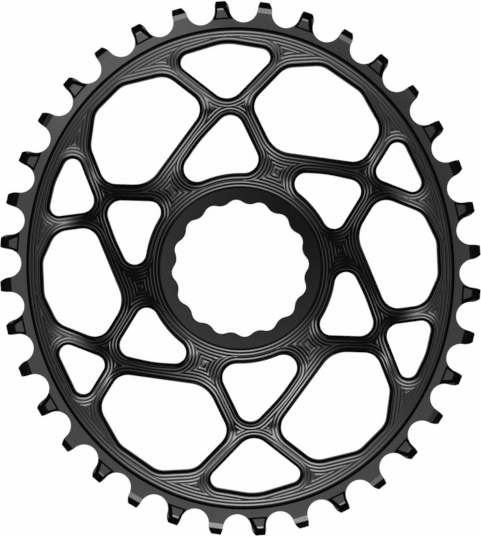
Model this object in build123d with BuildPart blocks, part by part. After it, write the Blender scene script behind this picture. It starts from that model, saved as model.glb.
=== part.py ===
from build123d import *
import os
from math import asin, atan2, cos, degrees, hypot, pi, radians, sin, sqrt, tan

# Oval direct-mount bicycle chainring with narrow-wide teeth, milled from one aluminium plate.
# It lies on its back: +Z is the bore axis and points out of the outboard face, +Y is the long
# axis of the oval, and the origin is on the bore axis at the back of the rim.
# Lengths are in millimetres, and angles in degrees from +X towards +Y.

# Chain line and roller seats, with tips set a little forward along the chain
chain_pitch = 12.7
wide_tooth_count = 18
oval_ratio = 1.1174
seat_radius = 4.2
seat_depth = 3.93
flank_angle = 8.0
shoulder_height = 0.6
tip_height = 2.55
tip_width = 2.75
tip_shift = 0.35

# Tooth thickness, with the bevels as length along the tooth and depth into its face
narrow_thickness = 2.2
wide_thickness = 3.5
soft_bevel_length = 1.45
soft_bevel_depth = 0.12
tip_bevel_length = 1.9
tip_bevel_depth = 0.75

# Pads that make every second tooth wide: a flat facet, shifted along the chain from the middle of
# the tooth, with a sloped foot, a broad bevel behind and a narrow one ahead
pad_foot_gap = 0.95
pad_foot_run = 0.5
pad_facet_length = 2.7
pad_foot_width = 3.5
pad_foot_shift = 0.17
pad_head_width = 1.6
pad_head_shift = 0.48
pad_back_run = 1.2
pad_front_run = 0.75

# Rim
band_width = 1.45
rim_width = 4.93
rim_thickness = 4.0
rim_chamfer = 0.7

# Hub and bore
bore_radius = 19.69
bore_lobe_height = 0.61
bore_lobe_count = 16
hub_ring_radius = 24.0
hub_ring_height = 0.6
hub_ring_run = 0.45
hub_wall = 4.14
hub_back_height = 1.0
hub_back_width = 6.0

# Dished web: it falls straight from the hub ring and bends level before the rim
dish_angle = 7.3
dish_bend = 52.0
dish_rim_gap = 9.3
window_chamfer = 0.86

# Struts: a zigzag star round the hub, and a pair of braces from each star point to the rim
star_width = 4.8
brace_width = 4.5
top_flare = 1.9

# Nodes of the struts on the half of the ring from right over the top to the left, as pairs of
# distance and angle: star feet beyond the hub wall, star points and brace crossings below the rim
star_feet = [(5.0, 14.1), (5.4, 71.5), (6.5, 136.1)]
star_points = [(14.4, 29.3), (17.3, 88.1), (14.5, 149.2)]
brace_crossings = [(21.4, 32.3), (25.8, 90.1), (23.1, 154.5)]
# Angles where the two braces of each pair reach the rim
brace_ends = [(10.4, 39.9), (70.8, 109.3), (134.4, 165.1)]
# Rim sides of the outer and the large windows: direction they face and metal added to the rim
outer_rim_sides = [[(21.4, -0.1)], [(76.5, 0.75), (103.0, 0.75)], [(150.5, 0.0), (163.6, 0.0)]]
large_rim_sides = [
    [(25.6, 3.2), (51.1, 0.2), (89.0, 7.8)],
    [(99.6, 5.5), (130.9, 0.1), (168.1, 9.9)],
    [(151.7, 6.0), (178.5, 0.0), (202.1, 3.9)],
]

# Fillets of the windows
node_fillet = 5.1
hub_fillet = 8.2
gusset_fillet = 5.7
outer_fillet = 2.75
outer_bend_fillet = 15.0
outer_apex_fillets = [2.9, 5.2, 3.7]
inner_apex_fillets = [3.5, 3.9, 4.0]
inner_rising_fillets = [3.3, 4.2, 3.3]
inner_falling_fillets = [3.35, 4.0, 3.4]

# The inner windows bow out into the falling struts: how far and how much each part leans, then
# the share of the side below the bend, and the share of that which the bend rounds off
inner_bows = [(0.15, 4.8), (0.35, 4.8), (0.2, 3.4)]
inner_bow_place = 0.33
inner_bow_rounding = 0.5

tooth_count = 2 * wide_tooth_count
origin = Vector(0, 0)


def root(function, low, high):
    """The place between low and high where a rising function is zero."""
    for _ in range(50):
        middle = (low + high) / 2
        if function(middle) < 0:
            low = middle
        else:
            high = middle
    return (low + high) / 2


def polar(radius, angle):
    return Vector(radius * cos(radians(angle)), radius * sin(radians(angle)))


def chord(minor, first, last):
    """Straight distance between two places on the pitch ellipse, given by ellipse angles."""
    across = minor * (cos(last) - cos(first))
    along = minor * oval_ratio * (sin(last) - sin(first))
    return hypot(across, along)


def half_of_seats(minor):
    """Ellipse angles of the seats from +X round to -X, the first half a pitch above the axis."""
    turns = [asin(chain_pitch / 2 / (minor * oval_ratio))]
    reach = 2 * chain_pitch / minor
    while len(turns) < wide_tooth_count:
        last = turns[-1]
        turns.append(root(lambda t: chord(minor, last, t) - chain_pitch, last, last + reach))
    return turns


def closing_gap(minor):
    """How far above half a pitch the last seat of the half stays."""
    return minor * oval_ratio * sin(half_of_seats(minor)[-1]) - chain_pitch / 2


# Pitch ellipse on which the chords of the chain close, with its roller seats and its teeth
round_radius = chain_pitch * tooth_count / (2 * pi)
pitch_minor = root(closing_gap, round_radius / oval_ratio, round_radius)
pitch_major = pitch_minor * oval_ratio
seat_turns = half_of_seats(pitch_minor)
seat_turns += [turn + pi for turn in seat_turns]
tooth_turns = [(a + b) / 2 for a, b in zip(seat_turns, seat_turns[1:] + [seat_turns[0] + 2 * pi])]

# Sizes that follow
rim_minor = pitch_minor - seat_depth - band_width
rim_major = pitch_major - seat_depth - band_width
tooth_plane = rim_thickness / 2
narrow_half = narrow_thickness / 2
wide_half = wide_thickness / 2
tip_half = narrow_half - soft_bevel_depth - tip_bevel_depth
hub_radius = hub_ring_radius + hub_wall
hub_back_radius = bore_radius + hub_back_width
dish_end = rim_minor - dish_rim_gap
bend_radius = dish_end - dish_bend * sin(radians(dish_angle))
bend_rise = dish_bend * (1 - cos(radians(dish_angle)))


def dish_rise(radius):
    """How far the straight part of the dish stands in front of the rim."""
    return bend_rise + (bend_radius - radius) * tan(radians(dish_angle))


hub_front = rim_thickness + dish_rise(hub_ring_radius)
ring_front = hub_front + hub_ring_height
hub_back = hub_front - rim_thickness - hub_back_height
bevel_reach = chain_pitch / 3
pad_reach = chain_pitch / 2
clear = 2 * rim_thickness


def meet(first, second):
    """The point where two lines meet, each given by a point and a direction."""
    normal = second[1].rotate(Axis.Z, 90)
    return first[0] + first[1] * ((second[0] - first[0]).dot(normal) / first[1].dot(normal))


def arc_about(centre, start, end):
    """The shorter arc about a centre."""
    towards = ((start + end) / 2 - centre).normalized()
    return ThreePointArc(start, centre + towards * (start - centre).length, end)


def pitch_frame(turn, height=0.0):
    """Frame on the pitch ellipse: x out of the ring, y along the chain, z up."""
    angle = degrees(atan2(pitch_minor * sin(turn), pitch_major * cos(turn)))
    return Location((pitch_minor * cos(turn), pitch_major * sin(turn), height), (0, 0, angle))


def in_frame(frame, out, along):
    """A point of the ring's plane, given in a frame on the pitch ellipse."""
    return Vector((frame * Pos(out, along)).position)


class Seat:
    """A roller seat: its arc, counter-clockwise, and how the flanks leave its ends."""

    def __init__(self, turn):
        frame = pitch_frame(turn)
        middle = seat_radius - seat_depth
        low = middle - seat_radius * sin(radians(flank_angle))
        half = seat_radius * cos(radians(flank_angle))
        lean = tan(radians(flank_angle))
        self.first = in_frame(frame, low, -half)
        self.bottom = in_frame(frame, -seat_depth, 0)
        self.last = in_frame(frame, low, half)
        self.first_flank = (self.first, in_frame(frame, low + 1, -half - lean) - self.first)
        self.last_direction = in_frame(frame, low + 1, half + lean) - self.last


def tooth(turn, before, after):
    """Outline of a tooth between two seats: round back, flat tip, round shoulder, straight flank."""
    frame = pitch_frame(turn)
    level = in_frame(frame, shoulder_height, 0)
    shoulder = (level, in_frame(frame, shoulder_height, 1) - level)
    end = meet(after.first_flank, shoulder)
    tip_start = in_frame(frame, tip_height, tip_shift - tip_width / 2)
    tip_end = in_frame(frame, tip_height, tip_shift + tip_width / 2)
    TangentArc(before.last, tip_start, tangent=before.last_direction)
    Line(tip_start, tip_end)
    TangentArc(end, tip_end, tangent=after.first_flank[1])
    Line(end, after.first)


def rim_radius(angle):
    """Distance from the axis to the rim ellipse."""
    return 1 / hypot(cos(radians(angle)) / rim_minor, sin(radians(angle)) / rim_major)


def rim_side(angle, added):
    """A window side along the rim, facing angle, that leaves the rim's width and more of metal."""
    reach = hypot(rim_minor * cos(radians(angle)), rim_major * sin(radians(angle)))
    return polar(reach - rim_width - added, angle), polar(1, angle + 90)


def strut_side(start, end, hand, width, flare=0.0):
    """A side of a strut, its left for hand 1 and its right for hand -1, widening by flare."""
    across = (end - start).normalized().rotate(Axis.Z, 90 * hand)
    first = start + across * ((width - flare / 2) / 2)
    last = end + across * ((width + flare / 2) / 2)
    return first, (last - first).normalized()


def with_opposite(nodes):
    """The nodes of the half, and the first one again, half a turn further."""
    return nodes + [nodes[0] * -1]


feet = with_opposite([polar(hub_radius + gap, angle) for gap, angle in star_feet])
points = with_opposite([polar(rim_radius(angle) - depth, angle) for depth, angle in star_points])
crossings = with_opposite(
    [polar(rim_radius(angle) - depth, angle) for depth, angle in brace_crossings]
)
ends = [[polar(rim_radius(angle), angle) for angle in pair] for pair in brace_ends]
ends.append([end * -1 for end in ends[0]])


def rising_side(spoke, hand):
    """A side of the star strut from a foot out to its point."""
    return strut_side(feet[spoke], points[spoke], hand, star_width)


def falling_side(spoke, hand):
    """A side of the star strut from a point back to the next foot, flared on the top spoke."""
    flare = top_flare if spoke == 1 else 0.0
    return strut_side(feet[spoke + 1], points[spoke], -hand, star_width, flare)


def brace_side(spoke, which, hand):
    """A side of one of the two struts from a crossing to the rim."""
    return strut_side(crossings[spoke], ends[spoke][which], hand, brace_width)


def corners_of(sides):
    """Corners of a closed outline whose sides are given in order."""
    return [meet(side, following) for side, following in zip(sides, sides[1:] + sides[:1])]


def outer_window(spoke):
    """Outline of the window between a pair of braces and the rim."""
    rim_sides = [rim_side(*side) for side in outer_rim_sides[spoke]]
    sides = [brace_side(spoke, 0, 1), *rim_sides, brace_side(spoke, 1, -1)]
    bends = [outer_bend_fillet] * (len(rim_sides) - 1)
    radii = [outer_fillet, *bends, outer_fillet, outer_apex_fillets[spoke]]
    FilletPolyline(*corners_of(sides), radius=radii, close=True)


def large_window(spoke):
    """Outline of the window between two spokes, with gussets where the braces meet the rim."""
    rim_sides = [rim_side(*side) for side in large_rim_sides[spoke]]
    sides = [
        falling_side(spoke, -1),
        brace_side(spoke, 1, 1),
        *rim_sides,
        brace_side(spoke + 1, 0, -1),
        rising_side(spoke + 1, -1),
    ]
    radii = [node_fillet, *[gusset_fillet] * (len(rim_sides) + 1), node_fillet, hub_fillet]
    FilletPolyline(*corners_of(sides), radius=radii, close=True)


def foot_corner(side, radius):
    """Rounding between a star strut and the hub: its centre, and its ends on strut and hub."""
    nearest = side[0] - side[1] * side[0].dot(side[1])
    out = nearest.normalized()
    height = nearest.length - radius
    reach = sqrt((hub_radius + radius) ** 2 - height**2)
    centre = out * height + side[1] * reach
    return centre, centre + out * radius, centre.normalized() * hub_radius


def inner_window(spoke):
    """Outline of the window between the hub and a point of the star."""
    rising = rising_side(spoke, 1)
    falling = falling_side(spoke, 1)
    foot = foot_corner(falling, inner_falling_fillets[spoke])[1]
    bow, lean = inner_bows[spoke]
    side = meet(rising, falling) - foot
    bend = foot + side * inner_bow_place + falling[1].rotate(Axis.Z, 90) * bow
    upper = (bend, falling[1].rotate(Axis.Z, -lean))
    lower = (bend, falling[1].rotate(Axis.Z, lean))
    first_centre, first_foot, first_hub = foot_corner(rising, inner_rising_fillets[spoke])
    last_centre, last_foot, last_hub = foot_corner(lower, inner_falling_fillets[spoke])
    rounded_length = (bend - last_foot).length * inner_bow_rounding
    FilletPolyline(
        first_foot,
        meet(rising, upper),
        bend,
        last_foot,
        radius=[inner_apex_fillets[spoke], rounded_length / tan(radians(lean))],
    )
    arc_about(last_centre, last_foot, last_hub)
    arc_about(origin, last_hub, first_hub)
    arc_about(first_centre, first_hub, first_foot)


def is_upright(face):
    """Whether a face stands along the bore axis."""
    return abs(face.normal_at().Z) < 0.001


def faces_out(face):
    """Whether a face looks out of the front of the ring."""
    return face.normal_at().Z > 0.5


with BuildSketch() as half_of_windows:
    for window_outline in (outer_window, large_window, inner_window):
        for spoke in range(len(star_points)):
            with BuildLine():
                window_outline(spoke)
            make_face()

with BuildSketch() as bore_outline:
    with BuildLine():
        half_step = 90 / bore_lobe_count
        for bump in range(2 * bore_lobe_count):
            middle = 2 * bump * half_step
            height = bore_lobe_height if bump % 2 == 0 else -bore_lobe_height
            ThreePointArc(
                polar(bore_radius, middle - half_step),
                polar(bore_radius + height, middle),
                polar(bore_radius, middle + half_step),
            )
    make_face()

with BuildSketch() as tooth_outline:
    with BuildLine():
        seats = [Seat(turn) for turn in seat_turns]
        for seat, following, turn in zip(seats, seats[1:] + seats[:1], tooth_turns):
            ThreePointArc(seat.first, seat.bottom, seat.last)
            tooth(turn, seat, following)
    make_face()

narrow_frames = [pitch_frame(turn, tooth_plane) for turn in tooth_turns[1::2]]
wide_frames = [pitch_frame(turn, tooth_plane) for turn in tooth_turns[0::2]]
pad_foot = pad_foot_gap + pad_foot_run - seat_depth
pad_head = pad_foot + pad_facet_length

with BuildPart() as narrow_bevels:
    with BuildSketch(Plane.XZ):
        with BuildLine():
            soft_start = tip_height - tip_bevel_length - soft_bevel_length
            Polyline(
                (soft_start, narrow_half),
                (tip_height - tip_bevel_length, narrow_half - soft_bevel_depth),
                (tip_height, tip_half),
                (tip_height + clear, tip_half),
                (tip_height + clear, clear),
                (soft_start, clear),
                close=True,
            )
        make_face()
    extrude(amount=bevel_reach, both=True)
    mirror(about=Plane.XY)

with BuildPart() as wide_bevels:
    with BuildSketch(Plane.XZ):
        with BuildLine():
            Polyline(
                (pad_head, wide_half),
                (tip_height, tip_half),
                (tip_height + clear, tip_half),
                (tip_height + clear, clear),
                (pad_head, clear),
                close=True,
            )
        make_face()
    extrude(amount=bevel_reach, both=True)
    mirror(about=Plane.XY)


def pad_bevel(start, end, run):
    """Plane of a pad's bevel along an edge of its facet, falling to the narrow plate over run."""
    edge = Vector(end) - Vector(start)
    out = edge.normalized().rotate(Axis.Z, -90)
    return Plane(
        origin=(*start, wide_half),
        z_dir=out * (wide_half - narrow_half) + Vector(0, 0, run),
    )


with BuildPart() as pad:
    foot_low = (pad_foot, pad_foot_shift - pad_foot_width / 2)
    foot_high = (pad_foot, pad_foot_shift + pad_foot_width / 2)
    head_low = (pad_head, pad_head_shift - pad_head_width / 2)
    head_high = (pad_head, pad_head_shift + pad_head_width / 2)
    with Locations((tip_height, 0, 0)):
        Box(
            tip_height + seat_depth,
            pad_reach,
            wide_half,
            align=(Align.MAX, Align.CENTER, Align.MIN),
        )
    split(bisect_by=pad_bevel(foot_high, foot_low, pad_foot_run), keep=Keep.BOTTOM)
    split(bisect_by=pad_bevel(foot_low, head_low, pad_back_run), keep=Keep.BOTTOM)
    split(bisect_by=pad_bevel(head_high, foot_high, pad_front_run), keep=Keep.BOTTOM)
    mirror(about=Plane.XY)

with BuildPart() as pads:
    with Locations(*wide_frames):
        add(pad.part)
    with BuildSketch(Plane.XY.offset(tooth_plane)):
        add(tooth_outline.sketch)
    extrude(amount=wide_half, both=True, mode=Mode.INTERSECT)

with BuildPart() as tooth_ring:
    with BuildSketch(Plane.XY.offset(tooth_plane)):
        add(tooth_outline.sketch)
        Ellipse(rim_minor - rim_width / 2, rim_major - rim_width / 2, mode=Mode.SUBTRACT)
    extrude(amount=narrow_half, both=True)
    add(pads.part)
    with Locations(*narrow_frames):
        add(narrow_bevels.part, mode=Mode.SUBTRACT)
    with Locations(*wide_frames):
        add(wide_bevels.part, mode=Mode.SUBTRACT)

with BuildPart() as web:
    with BuildSketch(Plane.XZ):
        with BuildLine():
            Polyline(
                (0, ring_front),
                (hub_ring_radius - hub_ring_run, ring_front),
                (hub_ring_radius, hub_front),
                (bend_radius, rim_thickness + bend_rise),
            )
            TangentArc(
                (dish_end, rim_thickness), (bend_radius, rim_thickness + bend_rise), tangent=(-1, 0)
            )
            Polyline(
                (dish_end, rim_thickness),
                (rim_major + clear, rim_thickness),
                (rim_major + clear, 0),
                (dish_end, 0),
            )
            TangentArc((dish_end, 0), (bend_radius, bend_rise), tangent=(-1, 0))
            Polyline(
                (bend_radius, bend_rise),
                (hub_back_radius, dish_rise(hub_back_radius)),
                (hub_back_radius, hub_back),
                (0, hub_back),
                (0, ring_front),
            )
        make_face()
    revolve(axis=Axis.Z)
    with BuildSketch():
        Ellipse(rim_minor, rim_major)
    extrude(amount=ring_front, mode=Mode.INTERSECT)
    rim_wall = web.faces().filter_by(is_upright).sort_by(SortBy.AREA)[-1]
    chamfer(rim_wall.edges().filter_by(GeomType.LINE, reverse=True), length=rim_chamfer)
    with BuildSketch():
        with PolarLocations(0, 2):
            add(half_of_windows.sketch)
    extrude(amount=ring_front, mode=Mode.SUBTRACT)
    wall_edges = web.faces(Select.LAST).filter_by(is_upright).edges()
    front_edges = web.faces().filter_by(faces_out).edges()
    chamfer(wall_edges.filter_by(lambda edge: edge in front_edges), length=window_chamfer)
    with BuildSketch():
        add(bore_outline.sketch)
    extrude(amount=ring_front, mode=Mode.SUBTRACT)

with BuildPart() as chainring:
    add(tooth_ring.part)
    add(web.part)
chainring.part.label = "chainring"

os.makedirs("parts", exist_ok=True)
export_step(chainring.part, "parts/chainring.step")
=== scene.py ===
import math

import bmesh
import bpy
import numpy as np
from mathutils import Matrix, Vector, geometry, kdtree


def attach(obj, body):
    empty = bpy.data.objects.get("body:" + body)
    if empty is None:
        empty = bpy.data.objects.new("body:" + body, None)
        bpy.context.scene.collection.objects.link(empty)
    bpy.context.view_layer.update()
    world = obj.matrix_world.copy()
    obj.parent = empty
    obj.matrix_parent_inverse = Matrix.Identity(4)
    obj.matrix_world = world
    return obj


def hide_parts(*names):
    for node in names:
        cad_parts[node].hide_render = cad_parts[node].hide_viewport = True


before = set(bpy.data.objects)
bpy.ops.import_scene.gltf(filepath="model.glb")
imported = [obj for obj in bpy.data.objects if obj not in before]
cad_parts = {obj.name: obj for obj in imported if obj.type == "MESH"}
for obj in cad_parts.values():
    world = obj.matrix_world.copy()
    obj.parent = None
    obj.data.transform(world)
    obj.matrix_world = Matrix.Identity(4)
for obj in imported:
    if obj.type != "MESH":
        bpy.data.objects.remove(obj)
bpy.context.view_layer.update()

# The chainring as it leaves the milling machine: a finish of fine contour passes on the front of
# the web, chamfered windows, a satin tooth band and hub ring, all in black anodising.
# The plan is worked out in millimetres from the frame's own outlines, and the mesh is in metres.
MM = 0.001
STRAIGHT_UP = Vector((0, 0, 1))

# Heights and radii of the frame
TOOTH_PLANE = 2.0
RIM_FRONT = 4.0
RIM_CHAMFER = 0.7
HUB_RING_RADIUS = 24.0
HUB_RING_HEIGHT = 0.6
HUB_RING_RUN = 0.45
HUB_BACK_HEIGHT = 1.0
HUB_BACK_RADIUS = 25.69
WEB_THICKNESS = 4.0
DISH_ANGLE = 7.3
DISH_BEND = 52.0
DISH_RIM_GAP = 9.3
WINDOW_CHAMFER = 0.86
PAD_TOP = 3.75

# Finer forms of the edges: a rim step with a shoulder, each given as distance and drop, chamfers with
# a rounded top, broken edges at the bore and the back, and the sloped outer end of a pad's facet
RIM_STEP_DROP = 0.88
RIM_STEP_EDGE = (0.35, 0.28)
RIM_STEP_SHOULDER = (0.7, 0.04)
RIM_STEP_TOP = 0.9
WINDOW_SLOPE = 0.85
WINDOW_ROUNDING = 0.1
BORE_BREAK = 0.2
BACK_BREAK = 0.25
PAD_END_LENGTH = 0.45
PAD_END_DROP = 0.03

# Contour passes of the mill, and how far from each kind of edge the first ridge between them lies
PASS_WIDTH = 0.96
PASS_DEPTH = 0.03
PASS_ROWS = 5
FIRST_RIDGE_AT_WINDOW = 1.1
FIRST_RIDGE_AT_HUB = 0.72
FIRST_RIDGE_AT_RIM = 1.68

# What tells the faces of the frame apart: upward parts of their normals, and shares of the rim
UPRIGHT_LIMIT = 0.01
DOWNWARD_LIMIT = -0.8
UPWARD_LIMIT = 0.9
INSIDE_RIM = 0.999
OUTSIDE_RIM = 0.9995
RIM_TOLERANCE = 0.0005
HEIGHT_TOLERANCE = 0.001
BORE_OFFSET = 1.0

# Steps of the mesh
ELLIPSE_POINTS = 2000
OUTLINE_STEP = 0.7
OUTLINE_CURVE_STEPS = 6
DISTANCE_STEP = 0.08
BACK_ROW_STEP = 2.0
WIDEST_METAL = 16.0
RIDGE_STEPS = 14
EDGE_ROWS = 4
RIDGE_TOLERANCE = 0.004
RIDGE_MARGIN = 0.05
MERGE_DISTANCE = 0.02
WELD_DIGITS = 4
SHARP_ANGLE = 9.0
TOOTH_SHARP_ANGLE = 3.0

# Black anodising, with the name, roughness and grain of each finish
FINISHES = [
    ("anodised_milled", 0.075, 0.05),
    ("anodised_satin", 0.08, 0.08),
    ("anodised_walls", 0.6, 0.08),
]
MILLED = 0
SATIN = 1
WALL = 2
ROUGHNESS_SPREAD = 0.02
REFRACTION = 1.5
DARKEST = (0.0015, 0.0015, 0.0016)
PALEST = (0.003, 0.003, 0.0032)
CLOUD_SCALE = 60.0
GRAIN_SCALE = 6000.0
GRAIN_DETAIL = 3.0
GRAIN_HEIGHT = 0.00002

# Camera and picture
PICTURE_WIDTH = 481
PICTURE_HEIGHT = 537
PIXEL = 0.2965
AXIS_PIXEL = (240.39, 268.31)
PICTURE_TURN = -4.05
CAMERA_DISTANCE = 700.0
SENSOR = 36.0

# Floor, in metres, with its paint and how much of its own white it shows
FLOOR_HALF = 6.0
FLOOR_HEIGHT = -0.0001
FLOOR_PAINT = (0.9, 0.9, 0.9, 1)
FLOOR_WHITE = 1.0
FLOOR_SHARE = 0.97

# Softbox: degrees from straight above to the picture's right and up, metres and radiance
SOFTBOX_RIGHT = -4.5
SOFTBOX_UP = 7.5
SOFTBOX_DISTANCE = 1.2
SOFTBOX_SIZE = 0.15
SOFTBOX_RADIANCE = 1.2

# Studio ceiling, as pairs of an angle in degrees and a level: a round glow by the angle from its dim
# middle and from straight up, two panels by the angles up and across the picture, and a ring around
# by the angle above the floor
GLOW = [
    (0.4, 0.02),
    (1.3, 0.08),
    (2.4, 0.27),
    (3.2, 0.46),
    (4.2, 0.66),
    (5.2, 0.84),
    (6.8, 1.0),
    (12.0, 1.0),
]
GLOW_EDGE = [(7.2, 1.0), (9.5, 0.35), (12.5, 0.04), (30.0, 0.01)]
GLOW_MIDDLE_SHIFT = 0.022
PANEL_HEIGHTS = [
    (-16.7, 0.0),
    (-15.4, 1.0),
    (-9.5, 1.0),
    (-7.0, 0.0),
    (7.0, 0.0),
    (9.5, 0.72),
    (15.4, 0.72),
    (16.7, 0.0),
]
PANEL_WIDTHS = [
    (-16.0, 0.0),
    (-10.0, 0.15),
    (-6.0, 0.5),
    (0.0, 1.0),
    (6.0, 0.5),
    (10.0, 0.15),
    (16.0, 0.0),
]
PANEL_LEVEL = 9.0
RING = [(45.0, 0.0), (47.0, 2.5), (55.0, 2.5), (57.0, 0.0)]
STUDIO_STRENGTH = 1.5


def lengths(vectors):
    return np.linalg.norm(vectors, axis=-1, keepdims=True)


def unit(vectors):
    return vectors / lengths(vectors)


def welded_mesh(node):
    """Points in millimetres and triangles of a frame node, with its split points joined again."""
    mesh = node.data
    mesh.calc_loop_triangles()
    points = np.empty(len(mesh.vertices) * 3)
    mesh.vertices.foreach_get("co", points)
    corners = np.empty(len(mesh.loop_triangles) * 3, int)
    mesh.loop_triangles.foreach_get("vertices", corners)
    rounded = np.round(points.reshape(-1, 3) / MM, WELD_DIGITS)
    points, place = np.unique(rounded, axis=0, return_inverse=True)
    return points, place.reshape(-1)[corners].reshape(-1, 3)


cad_points, cad_triangles = welded_mesh(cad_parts["chainring"])
cad_corners = cad_points[cad_triangles]
cad_normals = unit(
    np.cross(cad_corners[:, 1] - cad_corners[:, 0], cad_corners[:, 2] - cad_corners[:, 0])
)
rim_flat = np.abs(cad_points[:, 2] - RIM_FRONT) < HEIGHT_TOLERANCE
RIM_HALVES = np.abs(cad_points[rim_flat, :2]).max(axis=0) + RIM_CHAMFER


def rim_share(points):
    """1 on the rim's outer wall, less inside it and more on the teeth."""
    return lengths(points[..., :2] / RIM_HALVES)[..., 0]


def triangle_edges(triangles):
    return [(int(corners[i]), int(corners[i - 2])) for corners in triangles for i in range(3)]


def chain(following):
    """Closed loops from a table of which point follows which."""
    loops = []
    while following:
        start, point = following.popitem()
        loop = [start]
        while point != start:
            loop.append(point)
            point = following.pop(point)
        loops.append(loop)
    return loops


def even(points, step):
    """Evenly spaced points along a closed line."""
    closed = np.vstack([points, points[:1]])
    along = np.concatenate([[0], np.cumsum(lengths(np.diff(closed, axis=0)))])
    count = round(along[-1] / step)
    places = np.arange(count) * along[-1] / count
    return np.column_stack([np.interp(places, along, closed[:, axis]) for axis in (0, 1)])


def smoothed(corners):
    """A polygon with each corner rounded, from half way along the shorter of its two sides."""
    before = corners - np.roll(corners, 1, axis=0)
    after = np.roll(corners, -1, axis=0) - corners
    cut = np.minimum(lengths(before), lengths(after)) / 2
    start = corners - unit(before) * cut
    end = corners + unit(after) * cut
    share = (np.arange(OUTLINE_CURVE_STEPS) + 0.5)[None, :, None] / OUTLINE_CURVE_STEPS
    curve = start[:, None] * (1 - share) ** 2 + end[:, None] * share**2
    curve += corners[:, None] * 2 * share * (1 - share)
    return curve.reshape(-1, 2)


def turned(points):
    """A closed line running counter-clockwise."""
    following = np.roll(points, -1, axis=0)
    area = np.sum(points[:, 0] * following[:, 1] - points[:, 1] * following[:, 0])
    return points if area > 0 else points[::-1]


def ellipse(halves):
    angles = np.linspace(0, 2 * math.pi, ELLIPSE_POINTS, endpoint=False)
    return np.column_stack([halves[0] * np.cos(angles), halves[1] * np.sin(angles)])


class Outline:
    """An edge of the metal: even points, directions into the metal and the rows beside the edge."""

    def __init__(self, line, into, first_ridge, rows):
        self.points = even(turned(line), OUTLINE_STEP)
        self.dense = even(turned(line), DISTANCE_STEP)
        along = np.roll(self.points, -1, axis=0) - np.roll(self.points, 1, axis=0)
        self.normals = unit(np.column_stack([along[:, 1], -along[:, 0]])) * into
        self.first_ridge = first_ridge
        self.rows = rows


def dish(radius):
    """How far the web stands in front of the rim: straight from the hub, then bent level."""
    inside = np.maximum(RIM_HALVES[0] - DISH_RIM_GAP - radius, 0)
    bent = np.minimum(inside, DISH_BEND * math.sin(math.radians(DISH_ANGLE)))
    bend = DISH_BEND - np.sqrt(DISH_BEND**2 - bent**2)
    return bend + (inside - bent) * math.tan(math.radians(DISH_ANGLE))


HUB_FRONT = RIM_FRONT + dish(HUB_RING_RADIUS)
HUB_RING_FRONT = HUB_FRONT + HUB_RING_HEIGHT
HUB_BACK = HUB_FRONT - WEB_THICKNESS - HUB_BACK_HEIGHT


def pass_drop(level):
    """Hollow of the passes, at a distance past the first ridge."""
    share = np.mod(level, PASS_WIDTH) / PASS_WIDTH
    return -4 * PASS_DEPTH * share * (1 - share)


def window_drop(distance):
    """Chamfer of a window with a rounded top edge, then the passes."""
    low = WINDOW_CHAMFER - WINDOW_ROUNDING
    high = WINDOW_CHAMFER + WINDOW_ROUNDING
    hollow = pass_drop(max(distance, high) - FIRST_RIDGE_AT_WINDOW)
    if distance > high:
        return hollow
    if distance < low:
        return hollow + (distance - WINDOW_CHAMFER) * WINDOW_SLOPE
    return hollow - WINDOW_SLOPE * (high - distance) ** 2 / (2 * (high - low))


def hub_drop(distance):
    return pass_drop(distance - FIRST_RIDGE_AT_HUB)


def rim_drop(distance):
    """Step of the rim, steep up to its edge and shallow over the shoulder, then the passes."""
    edge, edge_drop = RIM_STEP_EDGE
    shoulder, shoulder_drop = RIM_STEP_SHOULDER
    places = [0, edge, shoulder, RIM_STEP_TOP]
    step = np.interp(distance, places, [-RIM_STEP_DROP, -edge_drop, -shoulder_drop, 0])
    return step + pass_drop(max(distance, RIM_STEP_TOP) - FIRST_RIDGE_AT_RIM)


def back_window_drop(distance):
    return max(BACK_BREAK - distance, 0)


def back_rim_drop(distance):
    return max(RIM_CHAMFER - distance, 0)


def no_drop(distance):
    return 0.0


class Family:
    """Outlines of one kind, with the distance to the nearest of them and the drop beside them."""

    def __init__(self, outlines, drop):
        self.outlines = outlines
        self.drop = drop
        self.first_ridge = outlines[0].first_ridge
        dense = np.vstack([outline.dense for outline in outlines])
        self.tree = kdtree.KDTree(len(dense))
        for number, point in enumerate(dense):
            self.tree.insert((point[0], point[1], 0), number)
        self.tree.balance()

    def level(self, spot):
        return self.tree.find((spot[0], spot[1], 0))[2] - self.first_ridge


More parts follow.
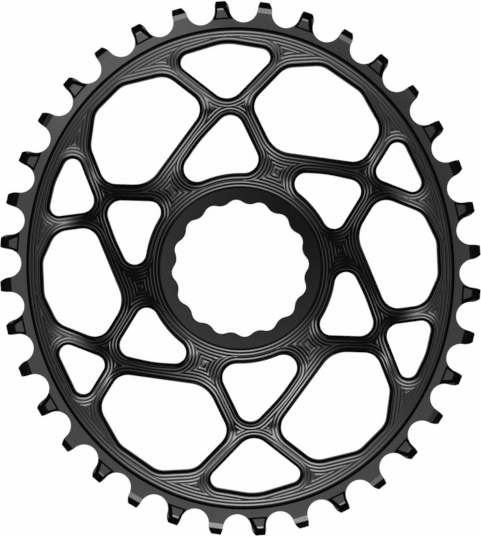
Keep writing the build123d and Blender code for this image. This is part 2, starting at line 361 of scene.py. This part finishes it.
class Sheet:
    """One side of the web: triangles in plan, in rows that follow the outlines to where they meet."""

    def __init__(self, families, row_step):
        self.families = families
        self.row_step = row_step
        self.plan = []
        self.drops = []
        self.edges = []
        self.borders = []
        for family in families:
            for outline in family.outlines:
                self.add_outline(family, outline)
        self.triangulate()

    def level(self, spot):
        return min(family.level(spot) for family in self.families)

    def add(self, spot, drop):
        self.plan.append(spot)
        self.drops.append(float(drop))
        return len(self.plan) - 1

    def meeting(self, outline, start, normal):
        """How far from an outline the rows meet those of another edge."""
        low = max(*outline.rows, 0)
        high = WIDEST_METAL
        for _ in range(RIDGE_STEPS):
            middle = (low + high) / 2
            if self.level(start + normal * middle) < middle - outline.first_ridge - RIDGE_TOLERANCE:
                high = middle
            else:
                low = middle
        return low

    def add_outline(self, family, outline):
        reach = [self.meeting(outline, *column) for column in zip(outline.points, outline.normals)]
        inner = np.arange(outline.first_ridge, WIDEST_METAL, self.row_step)
        distances = [*outline.rows, *inner]
        columns = []
        ends = []
        for start, normal, end in zip(outline.points, outline.normals, reach):
            columns.append([
                self.add(start + normal * distance, family.drop(distance))
                for distance in distances
                if distance < end - RIDGE_MARGIN
            ])
            ends.append(self.add(start + normal * end, family.drop(end)))
        self.borders.append([column[0] for column in columns])
        for here in range(len(columns)):
            beside = (here + 1) % len(columns)
            self.join_columns(columns, ends, reach, distances, family, here, beside)

    def join_columns(self, columns, ends, reach, distances, family, here, beside):
        """Edges along the rows of two neighbouring columns, and on to where a row runs out."""
        if len(columns[here]) < len(columns[beside]):
            here, beside = beside, here
        shared = len(columns[beside])
        self.edges += list(zip(columns[here][:shared], columns[beside]))
        for row in range(shared, len(columns[here])):
            share = (reach[here] - distances[row]) / max(reach[here] - reach[beside], RIDGE_TOLERANCE)
            if share >= 1:
                self.edges.append((columns[here][row], ends[beside]))
                continue
            first = self.plan[ends[here]]
            last = self.plan[ends[beside]]
            crossing = self.add(first + (last - first) * share, family.drop(distances[row]))
            self.edges.append((columns[here][row], crossing))

    def triangulate(self):
        border_of = {point: number for number, ids in enumerate(self.borders) for point in ids}
        spots, _, faces, sources, _, _ = geometry.delaunay_2d_cdt(
            [Vector(spot) for spot in self.plan], self.edges, [], 0, MERGE_DISTANCE, True
        )
        place = {source: number for number, ids in enumerate(sources) for source in ids}
        on_border = [next((border_of[s] for s in ids if s in border_of), None) for ids in sources]
        self.spots = np.array(spots)
        self.drop = np.array([
            self.drops[ids[0]] if ids else pass_drop(self.level(spot))
            for spot, ids in zip(spots, sources)
        ])
        self.triangles = [
            tuple(face)
            for face in faces
            if len({on_border[point] for point in face}) > 1 or on_border[face[0]] is None
        ]
        self.borders = [[place[point] for point in ids] for ids in self.borders]


class Solid:
    """Points and faces of the piece, gathered side by side."""

    def __init__(self):
        self.points = []
        self.faces = []
        self.finishes = []

    def add_points(self, points):
        first = len(self.points)
        self.points += [tuple(point) for point in points]
        return list(range(first, len(self.points)))

    def add_faces(self, faces, finish):
        self.faces += faces
        self.finishes += [finish] * len(faces)

    def add_wall(self, lower, upper, finish):
        """Faces between two closed lines with as many points, seen from their right."""
        count = len(lower)
        self.add_faces(
            [
                (lower[i], upper[i], upper[(i + 1) % count], lower[(i + 1) % count])
                for i in range(count)
            ],
            finish,
        )

    def add_bridge(self, lower, upper, finish):
        """Triangles between two closed lines round the axis, with any number of points."""
        sides = []
        for line in (lower, upper):
            turns = [math.atan2(self.points[i][1], self.points[i][0]) for i in line]
            order = np.argsort(turns)
            ids = [line[i] for i in order]
            angles = [turns[i] for i in order]
            sides.append((ids + ids[:1], angles + [angles[0] + 2 * math.pi]))
        (low, low_angles), (high, high_angles) = sides
        i = 0
        j = 0
        while i < len(low) - 1 or j < len(high) - 1:
            low_is_next = j == len(high) - 1
            if i < len(low) - 1 and not low_is_next:
                low_is_next = low_angles[i + 1] < high_angles[j + 1]
            if low_is_next:
                self.add_faces([(low[i], high[j], low[i + 1])], finish)
                i += 1
            else:
                self.add_faces([(low[i], high[j], high[j + 1])], finish)
                j += 1


def lifted(spots, height):
    return np.column_stack([spots, np.broadcast_to(height, len(spots))])


# Outlines of the windows and the bore, from the lower edges of the frame's upright walls
upright = np.abs(cad_normals[:, 2]) < UPRIGHT_LIMIT
facing_down = cad_normals[:, 2] < DOWNWARD_LIMIT
within_rim = rim_share(cad_corners.mean(axis=1)) < INSIDE_RIM
down_edges = set(triangle_edges(cad_triangles[facing_down]))
wall_feet = {
    a: b for a, b in triangle_edges(cad_triangles[upright & within_rim]) if (b, a) in down_edges
}
wall_loops = [cad_points[loop, :2] for loop in chain(wall_feet)]
window_loops = [loop for loop in wall_loops if lengths(loop.mean(axis=0))[0] > HUB_RING_RADIUS]
bore_loop = min(
    (loop for loop in wall_loops if lengths(loop.mean(axis=0))[0] < BORE_OFFSET),
    key=lambda loop: lengths(loop).max(),
)

chamfer_top = WINDOW_CHAMFER + WINDOW_ROUNDING
window_rows = [
    0,
    *np.linspace(WINDOW_CHAMFER - WINDOW_ROUNDING, chamfer_top, EDGE_ROWS, endpoint=False),
    chamfer_top,
]
windows = [
    Outline(smoothed(loop), 1, FIRST_RIDGE_AT_WINDOW, window_rows) for loop in window_loops
]
hub = Outline(
    ellipse((HUB_RING_RADIUS, HUB_RING_RADIUS)),
    1,
    FIRST_RIDGE_AT_HUB,
    np.linspace(0, FIRST_RIDGE_AT_HUB, EDGE_ROWS, endpoint=False),
)
rim = Outline(
    ellipse(RIM_HALVES),
    -1,
    FIRST_RIDGE_AT_RIM,
    [
        0,
        RIM_STEP_EDGE[0],
        RIM_STEP_SHOULDER[0],
        *np.linspace(RIM_STEP_TOP, FIRST_RIDGE_AT_RIM, EDGE_ROWS, endpoint=False),
    ],
)
front = Sheet(
    [Family(windows, window_drop), Family([hub], hub_drop), Family([rim], rim_drop)],
    PASS_WIDTH / PASS_ROWS,
)

back_windows = [Outline(smoothed(loop), 1, BACK_ROW_STEP, [0, BACK_BREAK]) for loop in window_loops]
back_hub = Outline(ellipse((HUB_BACK_RADIUS, HUB_BACK_RADIUS)), 1, BACK_ROW_STEP, [0])
back_rim = Outline(ellipse(RIM_HALVES), -1, BACK_ROW_STEP, [0, RIM_CHAMFER])
back = Sheet(
    [
        Family(back_windows, back_window_drop),
        Family([back_hub], no_drop),
        Family([back_rim], back_rim_drop),
    ],
    BACK_ROW_STEP,
)

# Front, back and windows of the web
solid = Solid()
front_height = RIM_FRONT + dish(lengths(front.spots)[:, 0]) + front.drop
front_ids = np.array(solid.add_points(lifted(front.spots, front_height)))
solid.add_faces([tuple(front_ids[list(face)]) for face in front.triangles], MILLED)

back_height = RIM_FRONT - WEB_THICKNESS + dish(lengths(back.spots)[:, 0]) + back.drop
back_ids = np.array(solid.add_points(lifted(back.spots, back_height)))
solid.add_faces([tuple(back_ids[list(face)][::-1]) for face in back.triangles], SATIN)

for number in range(len(windows)):
    solid.add_wall(back_ids[back.borders[number]], front_ids[front.borders[number]], WALL)

# Hub ring, bore and the boss at the back
hub_number = len(windows)
hub_foot = front_ids[front.borders[hub_number]]
ring_top = solid.add_points(lifted(hub.points - hub.normals * HUB_RING_RUN, HUB_RING_FRONT))
bore = Outline(smoothed(bore_loop), 1, 0, [])
bore_top = solid.add_points(lifted(bore.points + bore.normals * BORE_BREAK, HUB_RING_FRONT))
bore_high = solid.add_points(lifted(bore.points, HUB_RING_FRONT - BORE_BREAK))
bore_low = solid.add_points(lifted(bore.points, HUB_BACK + BORE_BREAK))
bore_bottom = solid.add_points(lifted(bore.points + bore.normals * BORE_BREAK, HUB_BACK))
boss_foot = back_ids[back.borders[hub_number]]
boss_edge = solid.add_points(lifted(back_hub.points, HUB_BACK))
solid.add_wall(ring_top, hub_foot, SATIN)
solid.add_bridge(bore_top, ring_top, SATIN)
solid.add_wall(bore_high, bore_top, SATIN)
solid.add_wall(bore_low, bore_high, WALL)
solid.add_wall(bore_bottom, bore_low, SATIN)
solid.add_bridge(boss_edge, bore_bottom, SATIN)
solid.add_wall(boss_foot, boss_edge, SATIN)

# Teeth of the frame, with the rim's wall closing up to them
on_rim = np.abs(rim_share(cad_points) - 1) < RIM_TOLERANCE
outside = (rim_share(cad_corners) > OUTSIDE_RIM).all(axis=1) & ~on_rim[cad_triangles].all(axis=1)
tooth_triangles = cad_triangles[outside]
tooth_places = np.unique(tooth_triangles)
tooth_ids = np.zeros(len(cad_points), int)
tooth_ids[tooth_places] = solid.add_points(cad_points[tooth_places])
solid.add_faces([tuple(tooth_ids[triangle]) for triangle in tooth_triangles], SATIN)
tooth_edges = triangle_edges(tooth_triangles)
every_edge = set(tooth_edges)
band_loops = chain({a: b for a, b in tooth_edges if (b, a) not in every_edge})
band_loops.sort(key=lambda loop: cad_points[loop[0], 2])
rim_number = hub_number + 1
solid.add_bridge(
    list(front_ids[front.borders[rim_number]]), list(tooth_ids[band_loops[1]]), SATIN
)
solid.add_bridge(list(tooth_ids[band_loops[0]]), list(back_ids[back.borders[rim_number]]), SATIN)


def add_node(tree, kind, **values):
    node = tree.nodes.new(kind)
    for name, value in values.items():
        setattr(node, name, value)
    return node


def black_anodising(name, roughness, grain):
    """Dyed aluminium: near black, with a satin sheen and a fine grain."""
    material = bpy.data.materials.new(name)
    material.use_nodes = True
    tree = material.node_tree
    shader = tree.nodes["Principled BSDF"]
    shader.inputs["IOR"].default_value = REFRACTION
    place = add_node(tree, "ShaderNodeTexCoord")
    noise = add_node(tree, "ShaderNodeTexNoise")
    noise.inputs["Scale"].default_value = GRAIN_SCALE
    noise.inputs["Detail"].default_value = GRAIN_DETAIL
    tree.links.new(place.outputs["Object"], noise.inputs["Vector"])
    cloud = add_node(tree, "ShaderNodeTexNoise")
    cloud.inputs["Scale"].default_value = CLOUD_SCALE
    tree.links.new(place.outputs["Object"], cloud.inputs["Vector"])
    # The vector form of this node has its inputs Vector, To Min and To Max at places 6, 9 and 10
    colour = add_node(tree, "ShaderNodeMapRange", data_type="FLOAT_VECTOR")
    colour.inputs[9].default_value = DARKEST
    colour.inputs[10].default_value = PALEST
    tree.links.new(cloud.outputs["Fac"], colour.inputs[6])
    tree.links.new(colour.outputs[1], shader.inputs["Base Color"])
    gloss = add_node(tree, "ShaderNodeMapRange")
    gloss.inputs["To Min"].default_value = roughness - ROUGHNESS_SPREAD
    gloss.inputs["To Max"].default_value = roughness + ROUGHNESS_SPREAD
    tree.links.new(cloud.outputs["Fac"], gloss.inputs["Value"])
    tree.links.new(gloss.outputs["Result"], shader.inputs["Roughness"])
    bump = add_node(tree, "ShaderNodeBump")
    bump.inputs["Strength"].default_value = grain
    bump.inputs["Distance"].default_value = GRAIN_HEIGHT
    tree.links.new(noise.outputs["Fac"], bump.inputs["Height"])
    tree.links.new(bump.outputs["Normal"], shader.inputs["Normal"])
    return material


def share_of(point):
    return rim_share(np.array(point.co) / MM)


def pad_facets(shape):
    """The level facets on the pads of the wide teeth, each as its list of faces."""
    level = {
        point
        for point in shape.verts
        if abs(point.co.z / MM - PAD_TOP) < HEIGHT_TOLERANCE and share_of(point) > 1
    }
    faces = [face for face in shape.faces if level.issuperset(face.verts)]
    pads = []
    while faces:
        pad = [faces.pop()]
        for face in pad:
            beside = {other for edge in face.edges for other in edge.link_faces}
            pad += [other for other in faces if other in beside]
            faces = [other for other in faces if other not in beside]
        pads.append(pad)
    return pads


def lower_point(point):
    """The outermost point at the lower end of an edge from a point."""
    others = [edge.other_vert(point) for edge in point.link_edges]
    lower = [other for other in others if (point.co.z - other.co.z) / MM > HEIGHT_TOLERANCE]
    return max(lower, key=share_of)


def bend_pad_ends(shape):
    """Slope the outer end of each pad's facet down to the bevel of the tip."""
    for pad in pad_facets(shape):
        points = list(dict.fromkeys(point for face in pad for point in face.verts))
        edges = list(dict.fromkeys(edge for face in pad for edge in face.edges))
        first, last = sorted(points, key=share_of)[-2:]
        outward = (last.co - first.co).cross(STRAIGHT_UP).normalized()
        if outward.dot(first.co) < 0:
            outward.negate()
        bmesh.ops.bisect_plane(
            shape,
            geom=[*points, *edges, *pad],
            plane_co=first.co - outward * PAD_END_LENGTH * MM,
            plane_no=outward,
        )
        ways = [lower_point(point).co - point.co for point in (first, last)]
        for point, way in zip((first, last), ways):
            point.co -= way * PAD_END_DROP * MM / way.z


def sharpen_teeth(shape):
    """Keep the shallow bevels on the front of the teeth crisp."""
    for edge in shape.edges:
        shallow = all(face.normal.z > UPWARD_LIMIT for face in edge.link_faces)
        if shallow and edge.calc_face_angle(0) > math.radians(TOOTH_SHARP_ANGLE):
            if min(share_of(point) for point in edge.verts) > 1:
                edge.smooth = False


def chainring_piece():
    mesh = bpy.data.meshes.new("chainring_milled")
    faces = [tuple(int(point) for point in face) for face in solid.faces]
    mesh.from_pydata([Vector(point) * MM for point in solid.points], [], faces)
    for name, roughness, grain in FINISHES:
        mesh.materials.append(black_anodising(name, roughness, grain))
    mesh.polygons.foreach_set("material_index", solid.finishes)
    mesh.polygons.foreach_set("use_smooth", [True] * len(mesh.polygons))
    mesh.set_sharp_from_angle(angle=math.radians(SHARP_ANGLE))
    shape = bmesh.new()
    shape.from_mesh(mesh)
    bend_pad_ends(shape)
    shape.normal_update()
    sharpen_teeth(shape)
    shape.to_mesh(mesh)
    shape.free()
    mesh.validate()
    piece = bpy.data.objects.new("chainring_milled", mesh)
    bpy.context.scene.collection.objects.link(piece)
    return piece


piece = chainring_piece()
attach(piece, "root")
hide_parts("chainring")

# Picture axes on the floor: right and up as the camera sees them
turn = math.radians(PICTURE_TURN)
PICTURE_RIGHT = Vector((math.cos(turn), math.sin(turn), 0))
PICTURE_UP = Vector((-math.sin(turn), math.cos(turn), 0))


def make_camera():
    camera = bpy.data.objects.new("camera", bpy.data.cameras.new("camera"))
    bpy.context.scene.collection.objects.link(camera)
    right = (PICTURE_WIDTH / 2 - AXIS_PIXEL[0]) * PIXEL
    up = (AXIS_PIXEL[1] - PICTURE_HEIGHT / 2) * PIXEL
    height = TOOTH_PLANE + CAMERA_DISTANCE
    camera.location = (PICTURE_RIGHT * right + PICTURE_UP * up + STRAIGHT_UP * height) * MM
    camera.rotation_euler = (0, 0, turn)
    camera.data.sensor_width = SENSOR
    camera.data.lens = SENSOR * CAMERA_DISTANCE / (PICTURE_HEIGHT * PIXEL)
    bpy.context.scene.camera = camera


def make_softbox():
    """A square lamp that faces the part from the left, nearly straight above."""
    lamp = bpy.data.lights.new("softbox_left", "AREA")
    lamp.shape = "RECTANGLE"
    lamp.size = SOFTBOX_SIZE
    lamp.size_y = SOFTBOX_SIZE
    lamp.energy = SOFTBOX_RADIANCE * math.pi * SOFTBOX_SIZE**2
    softbox = bpy.data.objects.new("softbox_left", lamp)
    bpy.context.scene.collection.objects.link(softbox)
    across = PICTURE_RIGHT * math.tan(math.radians(SOFTBOX_RIGHT))
    along = PICTURE_UP * math.tan(math.radians(SOFTBOX_UP))
    direction = (STRAIGHT_UP + across + along).normalized()
    softbox.location = direction * SOFTBOX_DISTANCE
    softbox.rotation_euler = direction.to_track_quat("Z", "Y").to_euler()
    softbox.visible_camera = False


def make_floor():
    """A pale floor under the part, white to the eye and to reflections, that keeps soft shadows."""
    signs = [(-1, -1), (1, -1), (1, 1), (-1, 1)]
    corners = [(right * FLOOR_HALF, up * FLOOR_HALF, FLOOR_HEIGHT) for right, up in signs]
    mesh = bpy.data.meshes.new("floor")
    mesh.from_pydata(corners, [], [(0, 1, 2, 3)])
    material = bpy.data.materials.new("floor")
    material.use_nodes = True
    tree = material.node_tree
    tree.nodes.remove(tree.nodes["Principled BSDF"])
    paint = add_node(tree, "ShaderNodeBsdfDiffuse")
    paint.inputs["Color"].default_value = FLOOR_PAINT
    white = add_node(tree, "ShaderNodeEmission")
    white.inputs["Strength"].default_value = FLOOR_WHITE
    light_path = add_node(tree, "ShaderNodeLightPath")
    seen = add_node(tree, "ShaderNodeMath", operation="MAXIMUM")
    tree.links.new(light_path.outputs["Is Camera Ray"], seen.inputs[0])
    tree.links.new(light_path.outputs["Is Glossy Ray"], seen.inputs[1])
    shown = add_node(tree, "ShaderNodeMath", operation="MAXIMUM")
    tree.links.new(seen.outputs[0], shown.inputs[0])
    tree.links.new(light_path.outputs["Is Transmission Ray"], shown.inputs[1])
    share = add_node(tree, "ShaderNodeMath", operation="MULTIPLY")
    share.inputs[1].default_value = FLOOR_SHARE
    tree.links.new(shown.outputs[0], share.inputs[0])
    mix = add_node(tree, "ShaderNodeMixShader")
    tree.links.new(share.outputs[0], mix.inputs["Fac"])
    tree.links.new(paint.outputs[0], mix.inputs[1])
    tree.links.new(white.outputs[0], mix.inputs[2])
    tree.links.new(mix.outputs[0], tree.nodes["Material Output"].inputs["Surface"])
    mesh.materials.append(material)
    floor = bpy.data.objects.new("floor", mesh)
    bpy.context.scene.collection.objects.link(floor)


def ramp_of(tree, steps):
    """A colour ramp through pairs of place and level."""
    ramp = add_node(tree, "ShaderNodeValToRGB")
    for _ in range(len(steps) - 2):
        ramp.color_ramp.elements.new(0.5)
    for element, (place, level) in zip(ramp.color_ramp.elements, steps):
        element.position = place
        element.color = (level, level, level, 1)
    return ramp


def level_by_distance(tree, place, centre, steps):
    """Levels of the studio's ceiling by the angle in degrees from one direction."""
    away = add_node(tree, "ShaderNodeVectorMath", operation="DISTANCE")
    tree.links.new(place.outputs["Generated"], away.inputs[0])
    away.inputs[1].default_value = centre.normalized()
    places = [(2 * math.sin(math.radians(angle) / 2), level) for angle, level in steps]
    ramp = ramp_of(tree, places)
    tree.links.new(away.outputs["Value"], ramp.inputs["Fac"])
    return ramp.outputs["Color"]


def level_by_lean(tree, place, axis, steps):
    """Levels of the studio's ceiling by the angle in degrees towards an axis."""
    lean = add_node(tree, "ShaderNodeVectorMath", operation="DOT_PRODUCT")
    tree.links.new(place.outputs["Generated"], lean.inputs[0])
    lean.inputs[1].default_value = axis
    half = add_node(tree, "ShaderNodeMath", operation="MULTIPLY_ADD")
    tree.links.new(lean.outputs["Value"], half.inputs[0])
    half.inputs[1].default_value = 0.5
    half.inputs[2].default_value = 0.5
    places = [(0.5 + math.sin(math.radians(angle)) / 2, level) for angle, level in steps]
    ramp = ramp_of(tree, places)
    tree.links.new(half.outputs[0], ramp.inputs["Fac"])
    return ramp.outputs["Color"]


def product(tree, first, second):
    node = add_node(tree, "ShaderNodeVectorMath", operation="MULTIPLY")
    tree.links.new(first, node.inputs[0])
    tree.links.new(second, node.inputs[1])
    return node.outputs[0]


def make_world():
    """A dark studio: a round glow dim in its middle, a panel on two sides of it and a ring around."""
    world = bpy.data.worlds.new("studio")
    bpy.context.scene.world = world
    world.use_nodes = True
    tree = world.node_tree
    place = add_node(tree, "ShaderNodeTexCoord")
    middle = STRAIGHT_UP + (PICTURE_RIGHT + PICTURE_UP) * GLOW_MIDDLE_SHIFT
    glow = product(
        tree,
        level_by_distance(tree, place, middle, GLOW),
        level_by_distance(tree, place, STRAIGHT_UP, GLOW_EDGE),
    )
    panels = product(
        tree,
        level_by_lean(tree, place, PICTURE_UP, PANEL_HEIGHTS),
        level_by_lean(tree, place, PICTURE_RIGHT, PANEL_WIDTHS),
    )
    light = add_node(tree, "ShaderNodeVectorMath", operation="MULTIPLY_ADD")
    tree.links.new(panels, light.inputs[0])
    light.inputs[1].default_value = (PANEL_LEVEL, PANEL_LEVEL, PANEL_LEVEL)
    rest = add_node(tree, "ShaderNodeVectorMath", operation="ADD")
    tree.links.new(glow, rest.inputs[0])
    tree.links.new(level_by_lean(tree, place, STRAIGHT_UP, RING), rest.inputs[1])
    tree.links.new(rest.outputs[0], light.inputs[2])
    background = tree.nodes["Background"]
    tree.links.new(light.outputs[0], background.inputs["Color"])
    background.inputs["Strength"].default_value = STUDIO_STRENGTH


make_camera()
make_floor()
make_softbox()
make_world()
bpy.context.scene.view_settings.view_transform = "Standard"
